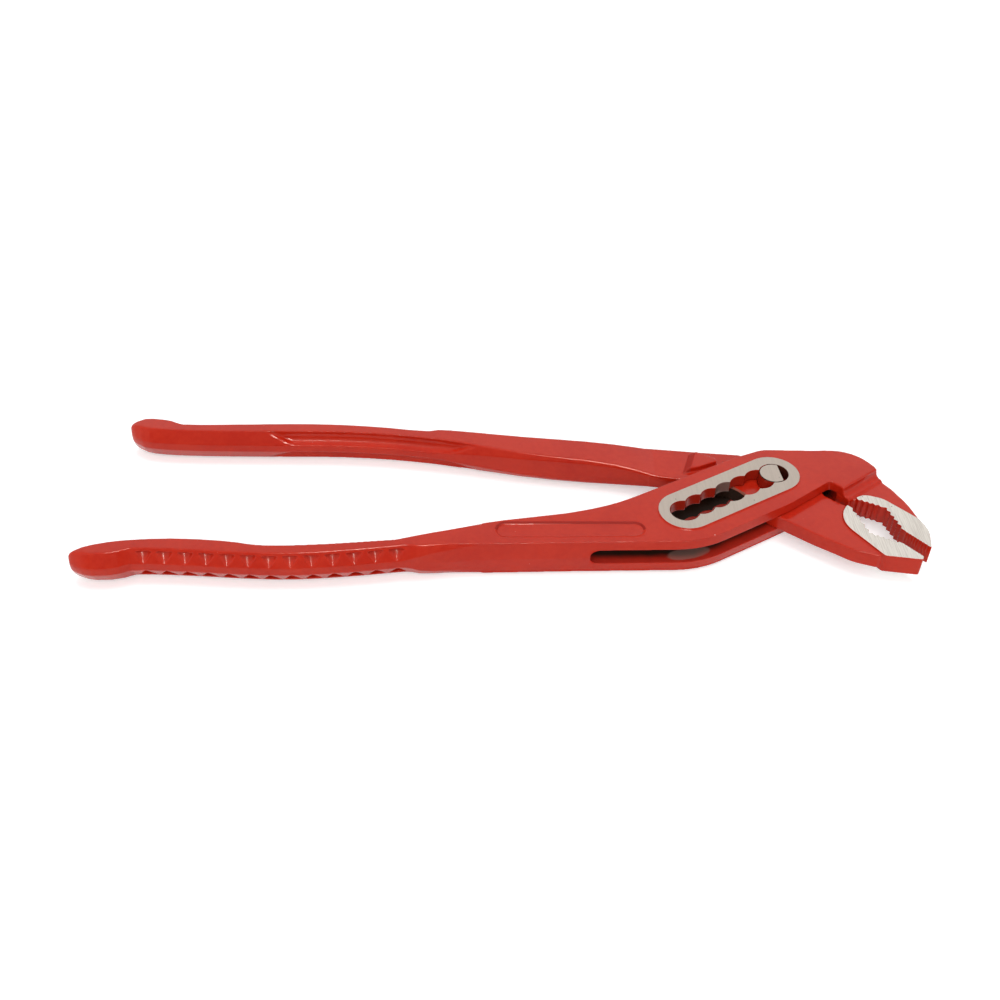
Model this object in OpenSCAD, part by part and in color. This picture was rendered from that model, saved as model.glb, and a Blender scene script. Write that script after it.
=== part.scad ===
// Water pump pliers with a box joint: two forged levers and the flatted pin that locks them
// in a row of lobes. The long axis is X with the jaws at +X, and the ground pads rest on Z = 0.

/* [Joint] */
// Number of lobes that the pin can lock in
lobes = 7; // [6:1:8]
// Diameter of one lobe
lobe_d = 8.5; // [8.3:0.1:8.8]
// Distance from lobe to lobe
lobe_pitch = 5.5; // [5.2:0.1:5.7]
// Direction of the row of lobes, from the long axis
slot_angle = 30.8; // [30:0.2:31.6]
// Gap all round between the pin and its holes
pin_gap = 0.05; // [0.02:0.01:0.1]
// Opening of the handles at which the pin's flat lets it slide
unlock_angle = 64; // [60:1:65]
// Width of the ground pad round the lobes
pad_w = 16; // [15:0.5:17]

/* [Thickness] */
// Box lever over its painted faces
box_t = 11; // [10.6:0.2:11.4]
// Height of the ground pad above the painted face
pad_rise = 0.6; // [0.4:0.1:0.8]
// Height of the window that the through lever passes
window_h = 4.8; // [4.6:0.1:5]
// Gap on each face of the tongue in the window
tongue_gap = 0.15; // [0.1:0.05:0.2]
// Jaws over their ground faces
jaw_t = 6; // [5.6:0.2:6.4]
// Handles over their grips
grip_t = 10.2; // [9.8:0.2:10.4]

/* [Handles] */
// Length of the box lever's handle, from the front lobe
box_handle = 199.6; // [196:0.2:204]
// Length of the through lever's handle, from the front lobe
through_handle = 197.4; // [193:0.2:201]
// Number of finger notches along each corner of a grip
notches = 13; // [8:1:13]
// Distance from notch to notch
notch_pitch = 5.8; // [5.4:0.1:5.8]
// Depth of a notch at its upper end
notch_depth = 1.1; // [0.7:0.1:1.2]
// Length of a notch up the slope
notch_len = 3.5; // [3:0.1:3.6]
// Depth of the hollows forged into the inner side of a grip
fuller_depth = 1.4; // [0.8:0.1:1.5]

/* [Jaws] */
// Height of a tooth in the pipe hollow
tooth_h = 0.7; // [0.4:0.1:0.8]
// Height of a ridge on the straight gripping faces
ridge_h = 0.25; // [0.15:0.05:0.3]

/* [Hidden] */
$fn = 64;
paint = [0.72, 0.17, 0.14];
steel = [0.78, 0.77, 0.73];

// The front lobe is the origin of every outline below, and Z = 0 there is the middle plane
pivot = [79.79, 2.56, box_t / 2 + pad_rise];
pad_z = box_t / 2 + pad_rise;
slot_len = lobe_pitch * (lobes - 1);
pin_r = lobe_d / 2 - pin_gap;
// The flat leaves the pin just narrower than the neck between two lobes
neck_w = 2 * sqrt(pow(lobe_d / 2, 2) - pow(lobe_pitch / 2, 2));
pin_flat = neck_w - 0.15 - pin_r;
tongue_z = window_h / 2 - tongue_gap;
jaw_z = jaw_t / 2;
web_z = jaw_z - 0.65;
window_front = 15.5;
window_rear = -slot_len - 30.2;
window_side = 13.6;
panel_depth = 0.4;
past = 1;
// How far a face stays under a face that it would otherwise lie in
under = 0.03;

// A point given along the row of lobes and across it, positive towards the near edge
function slot_point(s, d) =
    [s * cos(slot_angle) + d * sin(slot_angle), s * sin(slot_angle) - d * cos(slot_angle)];

// A closed outline from corner points [x, y, radius]: each corner becomes an arc
function rounded(c, steps = 6) = [
    for (i = [0:len(c) - 1])
        each corner_arc(c[(i + len(c) - 1) % len(c)], c[i], c[(i + 1) % len(c)], steps)
];
function xy(p) = [p[0], p[1]];
function unit(v) = v / norm(v);
function corner_arc(before, at, after, steps) =
    at[2] == 0 ? [xy(at)] :
    let (a = unit(xy(before) - xy(at)),
         b = unit(xy(after) - xy(at)),
         half = acos(max(-1, min(1, a * b))) / 2,
         centre = xy(at) + unit(a + b) * at[2] / sin(half),
         from = xy(at) + a * at[2] / tan(half) - centre,
         to = xy(at) + b * at[2] / tan(half) - centre,
         start = atan2(from[1], from[0]),
         turn = (atan2(to[1], to[0]) - start + 540) % 360 - 180)
    [for (k = [0:steps]) centre + at[2] * [cos(start + turn * k / steps), sin(start + turn * k / steps)]];

// A round-ended outline about the line from a to b
function stadium(a, b, r, steps = 24) =
    let (way = atan2((b - a)[1], (b - a)[0]))
    [for (end = [0, 1], k = [0:steps])
        let (turn = way - 90 + 180 * (end + k / steps))
        (end == 0 ? b : a) + r * [cos(turn), sin(turn)]];

// A row of teeth from a to b, raised to the left of the way from a to b
function teeth(a, b, count, height) =
    let (side = height * [-(b - a)[1], (b - a)[0]] / norm(b - a))
    [for (i = [0:count - 1], half = [0, 1]) a + (b - a) * (i + half / 2) / count + half * side];

// The height of a smooth curve through knots [x, value], with x rising
function curve(k, x) =
    let (last = len(k) - 2,
         hits = [for (i = [0:last]) if (x >= k[i][0]) i],
         i = len(hits) == 0 ? 0 : hits[len(hits) - 1],
         t = (x - k[i][0]) / (k[i + 1][0] - k[i][0]),
         span = k[i + 1][0] - k[i][0],
         m = slope(k, i) * span,
         n = slope(k, i + 1) * span)
    (2 * t * t * t - 3 * t * t + 1) * k[i][1] + (t * t * t - 2 * t * t + t) * m
    + (3 * t * t - 2 * t * t * t) * k[i + 1][1] + (t * t * t - t * t) * n;
function slope(k, i) =
    let (a = k[max(i - 1, 0)],
         b = k[min(i + 1, len(k) - 1)])
    (b[1] - a[1]) / (b[0] - a[0]);

// A closed skin over rings of points, each ring seen anticlockwise from the last one. The two
// ends are fans about their middles.
function middle(ring) = [for (p = ring) 1] * ring / len(ring);
module skin(rings) {
    n = len(rings[0]);
    last = len(rings) - 1;
    points = concat([for (ring = rings) each ring], [middle(rings[0]), middle(rings[last])]);
    sides = [
        for (k = [0:last - 1], i = [0:n - 1])
            let (a = k * n + i, b = k * n + (i + 1) % n)
            each [[a, a + n, b + n], [a, b + n, b]]
    ];
    first_end = [for (i = [0:n - 1]) [i, (i + 1) % n, (last + 1) * n]];
    last_end = [for (i = [0:n - 1]) [last * n + (i + 1) % n, last * n + i, (last + 1) * n + 1]];
    polyhedron(points, concat(sides, first_end, last_end));
}

module slab(outline, half) {
    translate([0, 0, -half]) linear_extrude(2 * half) polygon(outline);
}

// Cross-section of a handle in [distance from its inner side, height]: a bar whose four corners
// slope, each by [inset, drop]. The two inner slopes are hollowed by a list of depths.
slope_steps = 6;
function bar(width, half, inner, outer, hollow) =
    let (dip = [inner[1], -inner[0]] / norm(inner),
         slope = [for (k = [1:slope_steps - 1])
             let (u = k / slope_steps)
             [inner[0] * u, half - inner[1] * (1 - u)] + 4 * u * (1 - u) * hollow[k - 1] * dip])
    concat(
        [[0, half - inner[1]]],
        slope,
        [[inner[0], half], [width - outer[0], half], [width, half - outer[1]],
         [width, outer[1] - half], [width - outer[0], -half], [inner[0], -half]],
        [for (k = [slope_steps - 2:-1:0]) [slope[k][0], -slope[k][1]]],
        [[0, inner[1] - half]]
    );

// A handle along X, from its rounded end to where it joins the head. Each curve is a list of
// knots [x, value]; the slopes' values go from 0, a small chamfer, to 1, the full slope of a grip.
// side is 1 if the outer side faces +Y and -1 if it faces -Y. fuller is where the hollows in the
// inner slopes start and end; they are longest along the top edge.
fuller_lead = 8.6;
fuller_run = 2;
function hollow_depth(fuller, x, u) =
    let (room = min(x - fuller[0], fuller[1] - x) + fuller_lead * (u - 0.5))
    fuller_depth * max(0, min(1, room / fuller_run));
end_len = 5.5;
end_width = 0.3;
end_height = 0.6;
chamfer = [0.3, 0.4];
grip_slope = [2, 3.5];
module handle(xs, inner, outer, half, inner_slope, outer_slope, fuller, side) {
    rings = [
        for (x = xs)
            let (t = max(0, 1 - (x - xs[0]) / end_len),
                 swell = sqrt(1 - t * t),
                 across = end_width + (1 - end_width) * swell,
                 upright = end_height + (1 - end_height) * swell,
                 mid = (curve(inner, x) + curve(outer, x)) / 2,
                 width = across * abs(curve(outer, x) - curve(inner, x)),
                 in = chamfer + grip_slope * curve(inner_slope, x),
                 out = chamfer + grip_slope * curve(outer_slope, x),
                 hollow = [for (k = [1:slope_steps - 1]) hollow_depth(fuller, x, k / slope_steps)],
                 section = bar(width, upright * curve(half, x), [across * in[0], upright * in[1]],
                     [across * out[0], upright * out[1]], hollow),
                 ring = [for (p = section) [x, mid + side * (p[0] - width / 2), p[1]]])
            side > 0 ? [for (i = [len(ring) - 1:-1:0]) ring[i]] : ring
    ];
    skin(rings);
}

// Finger notches in the upper and lower slopes of a grip's outer side: each is a cone with its tip
// at the foot of the slope, and its base ends the notch below the edge of the top face
notch_tip = 0.1;
notch_half_angle = 40;
slope_full = chamfer + grip_slope;
notch_sink = atan2(notch_depth, notch_len);
notch_lean = atan2(slope_full[0], slope_full[1]) - notch_half_angle + notch_sink;
notch_axis = notch_len * cos(notch_half_angle - notch_sink);
module notch_row(first, outer, side) {
    for (i = [0:notches - 1], up = [-1, 1]) {
        x = first + i * notch_pitch;
        foot = grip_t / 2 - slope_full[1];
        translate([x, curve(outer, x), up * foot])
            rotate([up > 0 ? side * notch_lean : 180 - side * notch_lean, 0, 0])
                cylinder(r1 = notch_tip, r2 = notch_tip + notch_axis * tan(notch_half_angle),
                    h = notch_axis);
    }
}

// Box lever
box_near = -30.3;
box_notch = -178.8;
box_join = -86;
box_end = box_join + 2;
box_half = [
    [-box_handle, grip_t / 2], [-112, grip_t / 2], [-110, grip_t / 2], [-100, box_t / 2 - under],
    [-98, box_t / 2 - under], [box_end, box_t / 2 - under]
];
box_inner = [
    [-box_handle, -30], [-194, -28], [-186, -26.2], [-172, -25.3], [-158, -26.2], [-146, -28],
    [-132, -27.7], [-113, -26], [-104, -25], [-95, -23.5], [box_join, -21.3 - under], [box_end, -21.1]
];
box_outer = [
    [-box_handle, -35], [-192, -36.2], [-185.5, -35.2], [-182.5, -33.9], [-166, -34.5], [-152, -35.5],
    [-138, -35.9], [-122, -34.6], [-105.5, -32.5], [-103.5, -32.6], [-95, -31.6], [box_join, under - 30.9],
    [box_end, -30.7]
];
box_outline = rounded([
    [box_join, -30.9, 0],
    [-62, box_near, 0],
    concat(slot_point(-36, window_side - 0.5), 28),
    concat(slot_point(-5, window_side - 0.5), 30),
    [16.4, -3.4, 0.8],
    [19.4, -6.2, 0],
    [31.6, 2.8, 1.5],
    [26.3, 11.6, 12],
    [-1.5, 12.4, 9],
    concat(slot_point(-5, -12.6), 0),
    concat(slot_point(-30, -13), 0),
    concat(slot_point(-49, -13.4), 60),
    [-62, -17, 60],
    [-80, -20, 14],
    [box_join, -21.3, 0]
]);
box_stations = [
    -box_handle, -box_handle + 0.6, -box_handle + 1.8, -195.6, -193, -189, -185.5, -184, -182.5, -178,
    -172, -165, -158, -154, -153, -152, -151, -150, -149, -148, -147, -146, -145, -144, -142, -136, -128,
    -120, -117, -116, -115, -114, -113, -112, -111, -110, -109, -108, -107, -105.5, -103.5, -99, -95, -91,
    box_join, box_end
];
box_inner_slope = [[-200, 1], [-112, 1], [-110, 1], [-96, 0.2], [box_join, 0], [box_end, 0]];
box_outer_slope = [
    [-200, 1], [-109, 1], [-107, 1], [-102, 0.6], [-95, 0.35], [box_join, 0], [box_end, 0]
];
box_fuller = [-150, -111];

// Shoulder where the box drops to the jaw along the line from ridge_a to ridge_b: a cove, and a
// low step at its foot
ridge_a = [19.2, -6.4];
ridge_b = [31.4, 2.6];
cove_w = 1.6;
cove_steps = 6;
step_w = 2.3;
step_h = 0.55;
module shoulder() {
    along = ridge_b - ridge_a;
    top = box_t / 2 - under;
    step = web_z + step_h;
    cove = [for (k = [0:cove_steps])
        let (a = 90 * k / cove_steps)
        [cove_w * (cos(a) - 1), top - (top - step) * sin(a)]];
    face = concat([[3, top - 1], [1.2, top]], cove, [[-step_w, step], [-step_w - step_h, web_z - under]]);
    translate([ridge_a[0], ridge_a[1], 0])
        rotate([0, 0, atan2(along[1], along[0])])
            rotate([90, 0, 90])
                linear_extrude(norm(along))
                    polygon(concat(face, [for (k = [len(face) - 1:-1:0]) [face[k][0], -face[k][1]]]));
}

upper_web = rounded([
    [18, 0, 0], [16.6, -3.6, 0], [19, -6.4, 0], [20.6, -7.4, 1], [23.4, -8, 0], [27, -9, 0],
    [32, -13.5, 0], [37, -20, 0], [39.5, -18.4, 0], [37.7, -10, 30], [35, -3, 12], [32.2, 1.4, 0],
    [28, 4.5, 0]
]);
upper_pad = concat(
    teeth([23.2, -7.9], [30.2, -11.6], 5, -tooth_h),
    teeth([30.9, -12.1], [33.4, -21.9], 5, -tooth_h),
    teeth([33.4, -22.2], [38.4, -28.5], 9, -ridge_h),
    rounded([[38.8, -29.1, 0], [40.3, -22, 9], [38.7, -16.8, 0], [30.8, -8, 6], [25.8, -6, 3],
        [23.2, -7.5, 0]], 5)
);

module row_of_lobes(half) {
    for (i = [0:lobes - 1])
        translate(concat(slot_point(-i * lobe_pitch, 0), -half))
            cylinder(d = lobe_d, h = 2 * half);
}

// The ground pad's end centres lie a little inside the outermost lobes
pad_inside = 0.5;
module pad_stadium() {
    slab(stadium(slot_point(pad_inside - slot_len, 0), slot_point(-pad_inside, 0), pad_w / 2), pad_z);
}

// The window goes through the box across the row of lobes, with a half-round rear end
module window() {
    rear = window_rear + window_h / 2;
    reach = 40;
    rotate([0, 0, slot_angle]) {
        translate([rear, -window_side, -window_h / 2])
            cube([window_front - rear, window_side + reach, window_h]);
        rotate([90, 0, 0])
            linear_extrude(2 * reach, center = true)
                polygon(stadium([rear, 0], [-slot_len, 0], window_h / 2));
    }
}

module name_panel() {
    half_len = 17.8;
    half_w = 2.8;
    translate([-61.2, -24.3, box_t / 2 - panel_depth])
        rotate([0, 0, 1])
            linear_extrude(past)
                polygon(stadium([-half_len, 0], [half_len, 0], half_w));
}

module box_lever() {
    color(paint)
    translate(pivot)
    difference() {
        union() {
            slab(box_outline, box_t / 2);
            difference() {
                handle(box_stations, box_inner, box_outer, box_half, box_inner_slope, box_outer_slope,
                    box_fuller, -1);
                notch_row(box_notch, box_outer, -1);
            }
            shoulder();
            slab(upper_web, web_z);
            slab(upper_pad, jaw_z);
            pad_stadium();
        }
        window();
        row_of_lobes(pad_z + past);
        name_panel();
    }
}

// Through lever
tongue_r = 12.7;
through_join = -34;
tongue_outline = concat(
    rounded([
        [through_join - 2, 3.6, 0], [-24, 1.2, 20], [-12, -2, 8], [-3.2, -13.4, 6], [8, -22.5, 20],
        [18, -29.6, 14], [23.6, -31.6, 0], [26.5, -31.2, 0], [19.4, -19.5, 0], [19.2, -12.4, 0],
        [19.6, -10.4, 0], [14.6, -6, 1.5], [12.6, -1.6, 0]
    ]),
    [for (a = [4:12:112]) tongue_r * [cos(a), sin(a)]],
    [[-7.5, 13.6], [-18.5, 14.8], [through_join - 2, 17]]
);
through_half = [
    [-through_handle, grip_t / 2], [-100, grip_t / 2], [-98, grip_t / 2], [-75, grip_t / 2 - 0.4],
    [-51, 4.3], [-41, 3.3], [through_join, tongue_z]
];
through_inner = [
    [-through_handle, 23.6], [-190, 21.2], [-175, 20], [-150, 19.6], [-131, 19.3], [-116, 18.1],
    [-101, 15.8], [-86, 13], [-71, 9.9], [-46, 6.2], [through_join, 3.2]
];
through_outer = [
    [-through_handle, 29.9], [-192, 31.1], [-184.5, 29.8], [-180.5, 27.9], [-160, 27.9], [-144, 28.1],
    [-130, 27.6], [-115, 26], [-103, 24], [-100, 24.1], [-71, 20.2], [-46, 17.4], [through_join, 16.6]
];
through_stations = [
    -through_handle, -through_handle + 0.6, -through_handle + 1.8, -193, -190.5, -187, -184.5, -182.5,
    -180.5, -174, -166, -158, -154, -153, -152, -151, -150, -149, -148, -147, -146, -145, -144, -142, -136,
    -130, -122, -115, -109, -103, -100, -97, -96, -95, -94, -93, -92, -91, -90, -89, -88, -87, -85, -80,
    -75, -65, -55, -46, -40, through_join
];
through_notch = -176.5;
through_inner_slope = [
    [-200, 1], [-103, 1], [-101, 1], [-86, 0.6], [-70, 0.3], [-46, 0.1], [through_join, 0]
];
through_outer_slope = [
    [-200, 1], [-107, 1], [-105, 1], [-99, 0.5], [-80, 0.3], [-46, 0.1], [through_join, 0]
];
through_fuller = [-150, -91];

// Stop block: its wall lies along the box's far edge and ends the closing stroke
stop_z = 3.8;
stop_outline = [
    slot_point(-21, -17.4), slot_point(-15, -15.8), slot_point(-8.6, -15.2), slot_point(-8.1, -16.6),
    slot_point(-9.3, -18.8), slot_point(-10.2, -20.2), slot_point(-11, -21.9), slot_point(-15.6, -25.6)
];
stop_ramp = [-23.9, 5, 0];
stop_ramp_len = 2;
stop_turn = 18;
stop_sink = 0.2;
stop_reach = 60;
module stop_block() {
    foot = tongue_z - stop_sink;
    intersection() {
        slab(stop_outline, stop_z);
        translate(stop_ramp)
            rotate([0, 0, -stop_turn])
                rotate([90, 0, 0])
                    linear_extrude(stop_reach, center = true)
                        polygon([
                            [-stop_ramp_len, foot], [0, stop_z], [stop_reach, stop_z],
                            [stop_reach, -stop_z], [0, -stop_z], [-stop_ramp_len, -foot]
                        ]);
    }
}

lower_pad = concat(
    teeth([35.5, -32.7], [31.2, -27.3], 8, -ridge_h),
    [[30.5, -26.6]],
    teeth([29.7, -26.9], [23, -23.3], 5, -tooth_h),
    teeth([22.9, -22.9], [20.1, -11.3], 5, -tooth_h),
    rounded([[19.7, -10.8, 0], [15.4, -16.6, 9], [25.1, -32.3, 1.2], [35, -33.9, 0.5], [35.5, -33, 0]])
);

module through_lever() {
    color(paint)
    translate(pivot)
    difference() {
        union() {
            slab(tongue_outline, tongue_z);
            difference() {
                handle(through_stations, through_inner, through_outer, through_half, through_inner_slope,
                    through_outer_slope, through_fuller, 1);
                notch_row(through_notch, through_outer, 1);
            }
            stop_block();
            slab(lower_pad, jaw_z);
        }
        translate([0, 0, -jaw_z]) cylinder(d = lobe_d, h = jaw_t);
    }
}

// Joint pin: turned, with one flat, and ground flush with the pads
module joint_pin() {
    color(steel)
    translate(pivot)
    difference() {
        translate([0, 0, -pad_z]) cylinder(r = pin_r, h = 2 * pad_z);
        rotate([0, 0, slot_angle - 90 + unlock_angle])
            translate([pin_flat, -pin_r - past, -pad_z - past])
                cube([pin_r, 2 * (pin_r + past), 2 * (pad_z + past)]);
    }
}

box_lever();
through_lever();
joint_pin();
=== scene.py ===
import math

import bmesh
import bpy
import mathutils
import numpy as np
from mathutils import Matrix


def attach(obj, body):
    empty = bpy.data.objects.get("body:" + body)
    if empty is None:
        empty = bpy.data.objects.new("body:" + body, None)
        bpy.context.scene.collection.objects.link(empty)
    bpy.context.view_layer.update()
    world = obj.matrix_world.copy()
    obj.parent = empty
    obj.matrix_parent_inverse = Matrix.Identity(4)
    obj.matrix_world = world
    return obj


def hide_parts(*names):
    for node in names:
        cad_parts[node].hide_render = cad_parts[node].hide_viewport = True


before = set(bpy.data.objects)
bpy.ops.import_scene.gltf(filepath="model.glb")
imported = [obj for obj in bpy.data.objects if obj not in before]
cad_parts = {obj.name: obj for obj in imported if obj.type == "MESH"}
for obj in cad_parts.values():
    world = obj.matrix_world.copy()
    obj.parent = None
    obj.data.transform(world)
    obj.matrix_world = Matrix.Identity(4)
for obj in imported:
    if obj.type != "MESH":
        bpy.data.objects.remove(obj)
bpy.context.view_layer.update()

# Box lever: the near handle, the box with the row of lobes, and the upper jaw, drop forged from
# one bar of steel. It is dipped in red lacquer, and then the pads round the lobes and on the
# jaw are ground bright.
MM = 0.001
PIVOT = np.array([79.79, 2.56, 6.1])
SLOT_ANGLE = math.radians(30.8)
SLOT_LENGTH = 33.0
PAD_LEVEL = 6.1
JAW_LEVEL = 3.0
BOX_LEVEL = 5.5
BOX_DRAFT = 0.7
WINDOW_LEVEL = 2.47
WINDOW_REAR = -63.3
WINDOW_FRONT = 15.7
WINDOW_SIDE = 13.4
GROUND_OFF = 0.06
GRAIN = 0.18
SOFTENING = 40
ROUNDING_STEPS = 20
MOST_TRIANGLES = 185000
HANDLE_SOFTNESS = 0.2
HANDLE_TIP = (-196, -186)
BOX_SOFTNESS = 0.5
KEPT_SHARP = 0.93
GRIP_JOIN = (-106, -100)
DRAFT_REAR = (-104, -90)
DRAFT_FRONT = (14, 18)
PANEL_MIDDLE = (-61.2, -24.3)
PANEL_HALF = 17.8
SHOULDER_PLACE = (19.2, -6.4)
SHOULDER_FACING = (0.5937, -0.8047)
SHOULDER_STEP = 2.3


def settle(piece):
    """The piece's modifiers become its mesh."""
    graph = bpy.context.evaluated_depsgraph_get()
    settled = bpy.data.meshes.new_from_object(piece.evaluated_get(graph))
    piece.modifiers.clear()
    piece.data = settled


def from_pivot(mesh):
    """The mesh's points in millimetres from the front lobe's middle."""
    points = np.empty(len(mesh.vertices) * 3)
    mesh.vertices.foreach_get("co", points)
    return points.reshape(-1, 3) / MM - PIVOT


def ease(value, low, high):
    """0 below low, 1 above high, and smooth between them."""
    t = np.clip((value - low) / (high - low), 0, 1)
    return t * t * (3 - 2 * t)


def forging(node, softness, draft=None):
    """A solid of the frame with the rounded edges and sloped sides of a forging. For points from
    the pivot, softness gives how far each place is rounded, from 0 to 1, and draft how many
    millimetres its sides lean in."""
    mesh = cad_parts[node].data.copy()
    solid = bmesh.new()
    solid.from_mesh(mesh)
    bmesh.ops.remove_doubles(solid, verts=solid.verts, dist=0.001 * MM)
    solid.to_mesh(mesh)
    solid.free()
    piece = bpy.data.objects.new("forged_" + node, mesh)
    bpy.context.scene.collection.objects.link(piece)
    grain = piece.modifiers.new("grain", "REMESH")
    grain.mode = "VOXEL"
    grain.voxel_size = GRAIN * MM
    settle(piece)

    levels = np.round(ROUNDING_STEPS * softness(from_pivot(piece.data))).astype(int)
    rounding = piece.vertex_groups.new(name="rounding")
    for level in np.unique(levels):
        places = np.flatnonzero(levels == level).tolist()
        rounding.add(places, level / ROUNDING_STEPS, "REPLACE")
    soften = piece.modifiers.new("soften", "SMOOTH")
    soften.factor = 0.5
    soften.iterations = SOFTENING
    soften.vertex_group = rounding.name
    settle(piece)
    if draft:
        points, normals = from_pivot(piece.data), np.empty(len(piece.data.vertices) * 3)
        piece.data.vertices.foreach_get("normal", normals)
        inward = draft(points)[:, None] * normals.reshape(-1, 3) * (1, 1, 0)
        points = (points - inward + PIVOT) * MM
        piece.data.vertices.foreach_set("co", points.ravel())
    thin = piece.modifiers.new("thin", "DECIMATE")
    triangles = sum(len(face.vertices) - 2 for face in piece.data.polygons)
    thin.ratio = min(1, MOST_TRIANGLES / triangles)
    settle(piece)
    piece.vertex_groups.clear()
    piece.data.materials.clear()
    return piece


def grind(solid, faces, level, up):
    """Grinds the faces that stand above a level, measured from the middle plane, to a flat."""
    height = (PIVOT[2] + up * (level - GROUND_OFF)) * MM
    verts = {vert for face in faces for vert in face.verts}
    edges = {edge for face in faces for edge in face.edges}
    cut = bmesh.ops.bisect_plane(
        solid, geom=list(verts) + list(edges) + list(faces), dist=0.0001 * MM,
        plane_co=(0, 0, height), plane_no=(0, 0, up), clear_outer=True)
    rim = [edge for edge in cut["geom_cut"] if isinstance(edge, bmesh.types.BMEdge)]
    flat = bmesh.ops.triangle_fill(solid, edges=rim, use_beauty=True, normal=(0, 0, up))
    for face in flat["geom"]:
        if isinstance(face, bmesh.types.BMFace):
            face.material_index = 1
            face.smooth = False
    for edge in rim:
        if edge.is_valid:
            edge.smooth = False


def drop_crumbs(solid):
    """Deletes the specks that lie loose beside the forging."""
    shells = []
    unseen = set(solid.verts)
    while unseen:
        front = [unseen.pop()]
        shell = list(front)
        while front:
            near = {edge.other_vert(vert) for vert in front for edge in vert.link_edges}
            front = list(near & unseen)
            unseen.difference_update(front)
            shell += front
        shells.append(shell)
    shells.sort(key=len)
    for crumb in shells[:-1]:
        bmesh.ops.delete(solid, geom=crumb, context="VERTS")


def slot_place(x, y):
    """A place along the row of lobes and across it, positive towards the near edge."""
    return (x * math.cos(SLOT_ANGLE) + y * math.sin(SLOT_ANGLE),
            x * math.sin(SLOT_ANGLE) - y * math.cos(SLOT_ANGLE))


def across_slot(points):
    """Each point's distance from the line of the lobes."""
    along, beside = slot_place(points[:, 0], points[:, 1])
    return np.hypot(along - np.clip(along, 0.5 - SLOT_LENGTH, -0.5), beside)


def handle_softness(points):
    """The ends of the handles are round, and their notches and hollows keep their edges."""
    return HANDLE_SOFTNESS + (1 - HANDLE_SOFTNESS) * (1 - ease(points[:, 0], *HANDLE_TIP))


def off_panel(points):
    """Each point's distance from the middle line of the sunk panel."""
    x, y, z = points.T
    endwise = np.maximum(np.abs(x - PANEL_MIDDLE[0]) - PANEL_HALF, 0)
    return np.hypot(endwise, y - PANEL_MIDDLE[1])


def box_softness(points):
    """The box is rounder than the grips, but its pad, jaw and panel are crisp."""
    x, y = points[:, 0], points[:, 1]
    jaw = ease(x, 20, 23) * ease(-y, 5.5, 7.5)
    pad = 1 - ease(across_slot(points), 8.2, 9.4)
    panel = 1 - ease(off_panel(points), 3.4, 4.2)
    sharp = KEPT_SHARP * np.maximum(jaw, np.maximum(pad, panel))
    box = ease(x, *GRIP_JOIN) * (1 - sharp) * BOX_SOFTNESS
    return np.maximum(box, (x < GRIP_JOIN[1]) * handle_softness(points))


def box_draft(points):
    """The box's sides lean in towards its faces, but not at the pad, the jaw or the panel."""
    x, y, z = points.T
    kept = np.minimum(ease(off_panel(points), 3.2, 4.2), ease(across_slot(points), 9, 10))
    in_box = ease(x, *DRAFT_REAR) * (1 - ease(x, *DRAFT_FRONT))
    return BOX_DRAFT * kept * in_box * np.abs(z) / BOX_LEVEL


def in_upper_jaw(point):
    """Whether a point lies in front of the shoulder where the box drops to the jaw."""
    x, y = point[0] / MM - PIVOT[0], point[1] / MM - PIVOT[1]
    forward = SHOULDER_FACING[0] * (x - SHOULDER_PLACE[0])
    return forward + SHOULDER_FACING[1] * (y - SHOULDER_PLACE[1]) > SHOULDER_STEP


def anywhere(point):
    return True


def in_window(along, beside):
    """Whether a place lies inside the window that the tongue passes."""
    return WINDOW_REAR < along < WINDOW_FRONT and beside < WINDOW_SIDE


def grind_and_mark_window(piece, flats, shaded_inside):
    """Grinds the flats, given as levels and where they reach, and gives the places inside the
    window the finish with painted shade and wear.
    """
    solid = bmesh.new()
    solid.from_mesh(piece.data)
    for face in solid.faces:
        face.smooth = True
    for level, reached in flats:
        for up in (-1, 1):
            faces = [face for face in solid.faces if all(reached(v.co) for v in face.verts)]
            grind(solid, faces, level, up)
    drop_crumbs(solid)
    for face in solid.faces:
        x, y, z = np.array(face.calc_center_median()) / MM - PIVOT
        if abs(z) < WINDOW_LEVEL and shaded_inside(*slot_place(x, y)):
            face.material_index = 2
    solid.to_mesh(piece.data)
    solid.free()


box_lever = forging("box_lever", box_softness, box_draft)
grind_and_mark_window(box_lever, [(PAD_LEVEL, anywhere), (JAW_LEVEL, in_upper_jaw)], in_window)


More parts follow.
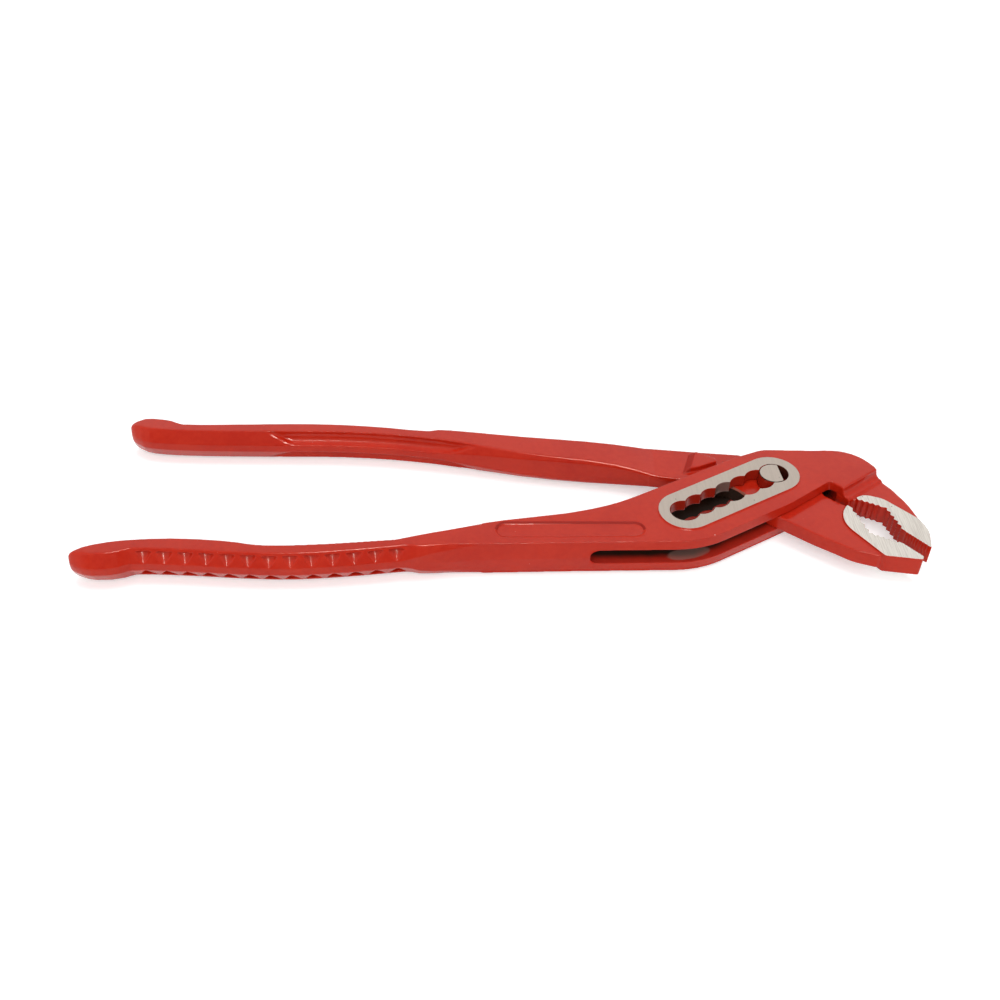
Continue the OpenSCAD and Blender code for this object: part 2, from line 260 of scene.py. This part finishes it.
class Wire:
    """A socket in a finish's node tree. Sums and products of wires add Math nodes."""

    def __init__(self, tree, socket=None):
        self.tree = tree
        self.socket = socket

    def add(self, kind, settings=None, inputs=None, out=None):
        """A new node: its settings are set first, then its sockets get values or wires."""
        node = self.tree.nodes.new(kind)
        for name, value in (settings or {}).items():
            setattr(node, name, value)
        for name, value in (inputs or {}).items():
            if isinstance(name, int):
                socket = node.inputs[name]
            else:
                socket = next(s for s in node.inputs if s.name == name and s.enabled)
            if isinstance(value, Wire):
                self.tree.links.new(value.socket, socket)
            else:
                socket.default_value = value
        if out is None:
            made = next((s for s in node.outputs if s.enabled), None)
        else:
            made = node.outputs[out]
        return Wire(self.tree, made)

    def math(self, operation, *values):
        return self.add("ShaderNodeMath", {"operation": operation}, dict(enumerate(values)))

    def __add__(self, other):
        return self.math("ADD", self, other)

    def __radd__(self, other):
        return self.math("ADD", other, self)

    def __sub__(self, other):
        return self.math("SUBTRACT", self, other)

    def __rsub__(self, other):
        return self.math("SUBTRACT", other, self)

    def __mul__(self, other):
        return self.math("MULTIPLY", self, other)

    def __rmul__(self, other):
        return self.math("MULTIPLY", other, self)

    def __lt__(self, other):
        return self.math("LESS_THAN", self, other)

    def __gt__(self, other):
        return self.math("GREATER_THAN", self, other)

    def between(self, low, high):
        """0 where this is below low, 1 above high, and smooth between them."""
        return self.add(
            "ShaderNodeMapRange", {"interpolation_type": "SMOOTHSTEP"},
            {"Value": self, "From Min": low, "From Max": high, "To Min": 0.0, "To Max": 1.0})

    def blend(self, under, over):
        """Two colours mixed by this."""
        return self.add(
            "ShaderNodeMix", {"data_type": "RGBA"}, {"Factor": self, "A": under, "B": over})


def new_finish(name):
    """An empty material: its shader, and a wire of its Object coordinates."""
    finish = bpy.data.materials.new(name)
    finish.use_nodes = True
    shader = finish.node_tree.nodes["Principled BSDF"]
    place = Wire(finish.node_tree).add("ShaderNodeTexCoord", out="Object")
    return finish, shader, place


def connect(shader, **wires):
    """Wires to the shader's sockets, with spaces in a socket's name given as _."""
    for name, wire in wires.items():
        wire.tree.links.new(wire.socket, shader.inputs[name.replace("_", " ")])


def noise(place, size, detail=2.0, rough=0.5):
    """Noise whose blots are about size millimetres across."""
    return place.add(
        "ShaderNodeTexNoise", None,
        {"Vector": place, "Scale": 1 / (size * MM), "Detail": detail, "Roughness": rough})


LACQUER = (0.54, 0.022, 0.007, 1)
LACQUER_DEEP = (0.485, 0.016, 0.005, 1)
LACQUER_SPECK = (0.80, 0.42, 0.36, 1)
LACQUER_SHINE = (1.0, 0.96, 0.85, 1)
# Painted shade: a darker red laid on the far rim of the sunk panel and on the stop block's ramp.
PAINTED_SHADE_RED = (0.30, 0.008, 0.004, 1)
# Painted shade: a near-black laid on the lobe walls and deep in the window, where little light
# reaches.
PAINTED_SHADE_DARK = (0.030, 0.014, 0.008, 1)
SCALE_WORN = (0.16, 0.12, 0.10, 1)
SCALE_RUBBED = (0.36, 0.22, 0.18, 1)
SCALE_BROWN = (0.32, 0.09, 0.06, 1)
LOBES_REAR = -38.0
LOBES_FRONT = 4.6
LOBE_SIDE = 4.6
LOBE_FLOOR = 2.35
LOBE_WEAR = (-19.2, -13.8)
PANEL_RIM = (2.4, 2.7, 3.2, 3.5)
RAMP_PLACE = (-23.9, 5.0)
RAMP_FACING = (0.951, 0.309)
RUBBED_PLACE = (-27.6, -25.6)
RUBBED_FACING = (0.966, 0.259)
RUBBED_HALF = (6.6, 2.4)


def pivot_place(place):
    """Wires of the place in millimetres from the pivot: X, Y, height, and along and across
    the row of lobes."""
    axes = [place.add("ShaderNodeSeparateXYZ", None, {0: place}, name) for name in "XYZ"]
    x, y, z = [(axis * (1 / MM)) - middle for axis, middle in zip(axes, PIVOT.tolist())]
    return (x, y, z) + slot_place(x, y)


def lacquer_colour(place):
    """Red with faint clouds and a few pale specks of dust."""
    flow = noise(place, 14, 3.0) * 0.6 + noise(place, 1.6, 3.0) * 0.4
    colour = flow.between(0.35, 0.65).blend(LACQUER_DEEP, LACQUER)
    dust = place.add(
        "ShaderNodeTexVoronoi", None, {"Vector": place, "Scale": 1 / (5 * MM)}, "Distance")
    speck = (1 - dust.between(0.03, 0.06)) * (noise(place, 9) > 0.57)
    return (speck * 0.6).blend(colour, LACQUER_SPECK)


red_lacquer, shader, place = new_finish("red_lacquer")
x, y, z, along, beside = pivot_place(place)
colour = lacquer_colour(place)
in_lobes = (along > LOBES_REAR) * (along < LOBES_FRONT) * (z > LOBE_FLOOR)
in_lobes = in_lobes * (beside > -LOBE_SIDE) * (beside < LOBE_SIDE)
lobe_wear = in_lobes * (along > LOBE_WEAR[0]) * (along < LOBE_WEAR[1]) * (beside < -2.0)
# Painted shade: the lobe walls are darkened, most in the front lobe by the pin.
lobe_painted_shade = in_lobes * ((along > 0.8) * 0.55 + 0.35)
colour = lobe_painted_shade.blend(colour, PAINTED_SHADE_DARK)
colour = (lobe_wear * 0.85).blend(colour, SCALE_WORN)
panel_x, panel_y = x - PANEL_MIDDLE[0], y - PANEL_MIDDLE[1]
endwise = x.math("MAXIMUM", x.math("ABSOLUTE", panel_x) - PANEL_HALF, 0.0)
from_panel = x.math("SQRT", endwise * endwise + panel_y * panel_y)
within_rim = 1 - from_panel.between(*PANEL_RIM[2:])
panel_rim = from_panel.between(*PANEL_RIM[:2]) * within_rim * (z > 4.0)
# Painted shadow along the panel's far rim.
colour = (panel_rim * (panel_y > 0.0) * 0.9).blend(colour, PAINTED_SHADE_RED)
up_ramp = (x - RAMP_PLACE[0]) * RAMP_FACING[0] - (y - RAMP_PLACE[1]) * RAMP_FACING[1]
on_ramp = (up_ramp > -2.6) * (up_ramp < 0.3) * (y > 4.0) * (z > 2.3) * (z < 3.95)
# Painted shade on the stop block's ramp.
colour = (on_ramp * 0.5).blend(colour, PAINTED_SHADE_RED)
orange_peel = noise(place, 0.9, 1.0)
hammered = noise(place, 5, 2.0)
relief = place.add(
    "ShaderNodeBump", None,
    {"Strength": 1.0, "Distance": 0.05 * MM, "Height": orange_peel * 0.4 + hammered * 1.2})
gloss = noise(place, 1.6, 3.0) * 0.1 + 0.12 + panel_rim * 0.6 + on_ramp * 0.5
connect(shader, Base_Color=colour, Roughness=gloss, Normal=relief)
shader.inputs["Specular IOR Level"].default_value = 0.25
shader.inputs["Specular Tint"].default_value = LACQUER_SHINE

# The window's finish: lacquer near the mouths with painted shade deepening inward, plus rubbed
# and worn brown patches of real wear.
window_shade_and_wear, shader, place = new_finish("window_shade_and_wear")
x, y, z, along, beside = pivot_place(place)
depth = beside.math("MINIMUM", beside.math("MINIMUM", 13.1 - beside, beside + 12.8), y + 30.3)
reach = depth + noise(place, 6, 3.0) * 2 - 1
# Painted shade: the lacquer darkens to near-black with depth into the window from its mouths.
colour = reach.between(1.8, 4.8).blend(lacquer_colour(place), PAINTED_SHADE_DARK)
rub_x, rub_y = x - RUBBED_PLACE[0], y - RUBBED_PLACE[1]
lengthwise = (rub_x * RUBBED_FACING[0] + rub_y * RUBBED_FACING[1]) * (1 / RUBBED_HALF[0])
crosswise = (rub_y * RUBBED_FACING[0] - rub_x * RUBBED_FACING[1]) * (1 / RUBBED_HALF[1])
rubbed = lengthwise * lengthwise + crosswise * crosswise + noise(place, 2.5, 3.0) * 0.5 - 0.25
colour = ((1 - rubbed.between(0.7, 1.1)) * (z < 0.0) * 0.55).blend(colour, SCALE_RUBBED)
on_tongue = (z > 2.0) * (z < 2.33) * along.between(-18.0, -14.0)
colour = (on_tongue * 0.8).blend(colour, SCALE_BROWN)
connect(shader, Base_Color=colour)
shader.inputs["Roughness"].default_value = 0.7
shader.inputs["Specular IOR Level"].default_value = 0.1

STEEL = (0.44, 0.372, 0.315, 1)
STEEL_DARK = (0.37, 0.31, 0.26, 1)
JAW_STEEL = (0.68, 0.635, 0.575, 1)
JAW_STEEL_DARK = (0.54, 0.49, 0.435, 1)
STEEL_PIT = (0.06, 0.055, 0.05, 1)
JAW_START = 14.0
GRINDING_ANGLE = math.radians(55)

ground_steel, shader, place = new_finish("ground_steel")
x, y, z, along, beside = pivot_place(place)
turned = place.add(
    "ShaderNodeMapping", None,
    {"Vector": place, "Rotation": (0, 0, GRINDING_ANGLE), "Scale": (1, 0.04, 1)})
lines = noise(turned, 0.35, 3.0, 0.6) * 0.6 + noise(turned, 0.14, 2.0, 0.6) * 0.4
scratch = 1 - lines.between(0.40, 0.56)
pad_colour = (scratch * 0.5).blend(STEEL, STEEL_DARK)
colour = (x > JAW_START).blend(pad_colour, scratch.blend(JAW_STEEL, JAW_STEEL_DARK))
pits = place.add(
    "ShaderNodeTexVoronoi", None, {"Vector": place, "Scale": 1 / (2.2 * MM)}, "Distance")
pitted = (1 - pits.between(0.05, 0.10)) * (noise(place, 4) > 0.56)
colour = pitted.blend(colour, STEEL_PIT)
relief = place.add(
    "ShaderNodeBump", None,
    {"Strength": 1.0, "Distance": 0.006 * MM, "Height": lines - pitted * 3})
connect(shader, Base_Color=colour, Roughness=lines * 0.25 + 0.25 + pitted * 0.3, Normal=relief)
shader.inputs["Metallic"].default_value = 0.4

for finish in (red_lacquer, ground_steel, window_shade_and_wear):
    box_lever.data.materials.append(finish)
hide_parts("box_lever")
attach(box_lever, "box_lever")

# Through lever: the far handle, the tongue that passes the box's window, and the lower jaw, also
# drop forged in one piece, lacquered, and ground bright on the jaw.
THROUGH_SOFTNESS = 0.35
THROUGH_JOIN = (-100, -90)
LOWER_JAW_SHARP = 0.8
LOWER_JAW_CORNER = (10, -8)
TONGUE_REACH = (-40, -9.6)
TONGUE_SIDE = 9


def through_softness(points):
    """Like the box lever's, with a crisp lower jaw."""
    x, y = points[:, 0], points[:, 1]
    jaw = ease(x, 13, 16) * ease(-y, 9, 11)
    shank = THROUGH_SOFTNESS * ease(x, *THROUGH_JOIN) * (1 - LOWER_JAW_SHARP * jaw)
    return np.maximum(shank, (x < THROUGH_JOIN[1]) * handle_softness(points))


def in_lower_jaw(point):
    """Whether a point lies in the lower jaw, clear of the tongue."""
    x, y = point[0] / MM - PIVOT[0], point[1] / MM - PIVOT[1]
    return x > LOWER_JAW_CORNER[0] and y < LOWER_JAW_CORNER[1]


def on_tongue_face(along, beside):
    """Whether a place lies on the part of the tongue that shows through the lobes, dark with
    painted shade and a worn brown patch.
    """
    return TONGUE_REACH[0] < along < TONGUE_REACH[1] and abs(beside) < TONGUE_SIDE


through_lever = forging("through_lever", through_softness)
grind_and_mark_window(through_lever, [(JAW_LEVEL, in_lower_jaw)], on_tongue_face)
for finish in (red_lacquer, ground_steel, window_shade_and_wear):
    through_lever.data.materials.append(finish)
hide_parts("through_lever")
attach(through_lever, "through_lever")

# Joint pin: turned from steel bar with one flat, pressed through the tongue, and ground flush
# with the pads. Its flat lets it slide along the lobes when the handles are wide open.
PIN_RADIUS = 4.2
PIN_FLAT = 2.13
PIN_FLAT_ANGLE = math.radians(30.8 - 90 + 64)
PIN_CHAMFER = 0.2

pin_mesh = bpy.data.meshes.new("turned_joint_pin")
joint_pin = bpy.data.objects.new("turned_joint_pin", pin_mesh)
bpy.context.scene.collection.objects.link(joint_pin)
solid = bmesh.new()
bmesh.ops.create_cone(
    solid, cap_ends=True, segments=96, radius1=PIN_RADIUS, radius2=PIN_RADIUS,
    depth=2 * (PAD_LEVEL - GROUND_OFF))
flat_side = (math.cos(PIN_FLAT_ANGLE), math.sin(PIN_FLAT_ANGLE), 0)
cut = bmesh.ops.bisect_plane(
    solid, geom=solid.verts[:] + solid.edges[:] + solid.faces[:], dist=0.0001,
    plane_co=[PIN_FLAT * axis for axis in flat_side], plane_no=flat_side, clear_outer=True)
bmesh.ops.contextual_create(
    solid, geom=[edge for edge in cut["geom_cut"] if isinstance(edge, bmesh.types.BMEdge)])
rims = [edge for edge in solid.edges if abs(edge.verts[0].co.z - edge.verts[1].co.z) < 0.001]
bmesh.ops.bevel(
    solid, geom=rims, offset=PIN_CHAMFER, affect="EDGES", segments=3, profile=0.5, material=-1)
bmesh.ops.recalc_face_normals(solid, faces=solid.faces)
for face in solid.faces:
    upright = abs(face.normal.z)
    face.smooth = upright < 0.99
    face.material_index = 0 if upright > 0.99 else 1 if upright > 0.1 else 2
bmesh.ops.scale(solid, vec=(MM, MM, MM), verts=solid.verts)
bmesh.ops.translate(solid, vec=PIVOT * MM, verts=solid.verts)
solid.to_mesh(pin_mesh)
solid.free()
for finish in (ground_steel, window_shade_and_wear, red_lacquer):
    pin_mesh.materials.append(finish)
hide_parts("joint_pin")
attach(joint_pin, "joint_pin")

# Floor: a wide sheet of white card that the pliers lie on.
CARD_REACH = 4.0
CARD_WHITE = (0.82, 0.82, 0.82, 1)
CARD_LIFT = 0.45

card_mesh = bpy.data.meshes.new("white_card")
card = bpy.data.objects.new("white_card", card_mesh)
bpy.context.scene.collection.objects.link(card)
sheet = bmesh.new()
bmesh.ops.create_grid(sheet, x_segments=1, y_segments=1, size=CARD_REACH)
sheet.to_mesh(card_mesh)
sheet.free()
card_white, shader, place = new_finish("white_card")
shader.inputs["Base Color"].default_value = CARD_WHITE
shader.inputs["Roughness"].default_value = 1.0
shader.inputs["Specular IOR Level"].default_value = 0.0


def seen_directly(tree):
    """1 for rays from the camera, straight or by a mirror or glass, and 0 for the others."""
    path = tree.nodes.new("ShaderNodeLightPath").outputs
    names = ("Is Camera Ray", "Is Glossy Ray", "Is Transmission Ray")
    camera, glossy, through = [Wire(tree, path[name]) for name in names]
    return camera.math("MINIMUM", camera + glossy + through, 1.0)


lift = seen_directly(card_white.node_tree) * CARD_LIFT
shader.inputs["Emission Strength"].default_value = 1.0
connect(shader, Emission_Color=lift)
card_mesh.materials.append(card_white)

# Light: a lamp high over the pliers, a wide one in front, a strip above and a panel behind that
# only show as glints, an even white room, and a dark card in front that only shows in the shine.
# Each lamp has its strength, its spread and tilt in degrees, and whether it lights and glints.
LAMPS = {
    "high_lamp": (0.95, 24, (-6, 4, 0), True, False),
    "front_lamp": (1.3, 60, (48, -12, 0), True, False),
    "strip_lamp": (4.5, 22, (24, 2, 0), False, True),
    "back_lamp": (0.22, 50, (-50, 0, 0), False, True),
}
ROOM_STRENGTH = 0.4
DARK_CARD_PLACE = (0, -0.75, 0.36)
DARK_CARD_SIZE = 0.7
DARK_CARD_TONE = (0.25, 0.25, 0.25, 1)

for name, (strength, spread, tilt, lights, glints) in LAMPS.items():
    lamp = bpy.data.lights.new(name, "SUN")
    lamp.energy = strength
    lamp.angle = math.radians(spread)
    stand = bpy.data.objects.new(name, lamp)
    stand.rotation_euler = [math.radians(turn) for turn in tilt]
    stand.visible_diffuse = lights
    stand.visible_glossy = glints
    bpy.context.scene.collection.objects.link(stand)
dark_mesh = bpy.data.meshes.new("dark_card")
dark_card = bpy.data.objects.new("dark_card", dark_mesh)
bpy.context.scene.collection.objects.link(dark_card)
sheet = bmesh.new()
bmesh.ops.create_grid(sheet, x_segments=1, y_segments=1, size=DARK_CARD_SIZE)
bmesh.ops.scale(sheet, vec=(1, 0.5, 1), verts=sheet.verts)
upended = mathutils.Matrix.Rotation(math.radians(90), 3, "X")
bmesh.ops.rotate(sheet, cent=(0, 0, 0), matrix=upended, verts=sheet.verts)
bmesh.ops.translate(sheet, vec=DARK_CARD_PLACE, verts=sheet.verts)
sheet.to_mesh(dark_mesh)
sheet.free()
card_dark, shader, place = new_finish("dark_card")
shader.inputs["Base Color"].default_value = (0, 0, 0, 1)
shader.inputs["Specular IOR Level"].default_value = 0.0
shader.inputs["Emission Color"].default_value = DARK_CARD_TONE
shader.inputs["Emission Strength"].default_value = 1.0
dark_mesh.materials.append(card_dark)
dark_card.visible_camera = False
dark_card.visible_diffuse = False
dark_card.visible_shadow = False
room = bpy.data.worlds.new("white_room")
room.use_nodes = True
bpy.context.scene.world = room
backdrop = room.node_tree.nodes["Background"]
strength = seen_directly(room.node_tree) * (1 - ROOM_STRENGTH) + ROOM_STRENGTH
backdrop.inputs["Color"].default_value = (1, 1, 1, 1)
room.node_tree.links.new(strength.socket, backdrop.inputs["Strength"])
bpy.context.scene.view_settings.view_transform = "Standard"

# Camera: level with the long axis and 40 degrees above the table.
CAMERA_PLACE = (-0.00107, -0.25062, 0.21596)
CAMERA_TILT = math.radians(90 - 40.24)
LENS = 39.6

camera = bpy.data.cameras.new("camera")
camera.lens = LENS
camera.sensor_width = 36.0
camera.clip_start = 0.01
stand = bpy.data.objects.new("camera", camera)
stand.location = CAMERA_PLACE
stand.rotation_euler = (CAMERA_TILT, 0, 0)
bpy.context.scene.collection.objects.link(stand)
bpy.context.scene.camera = stand
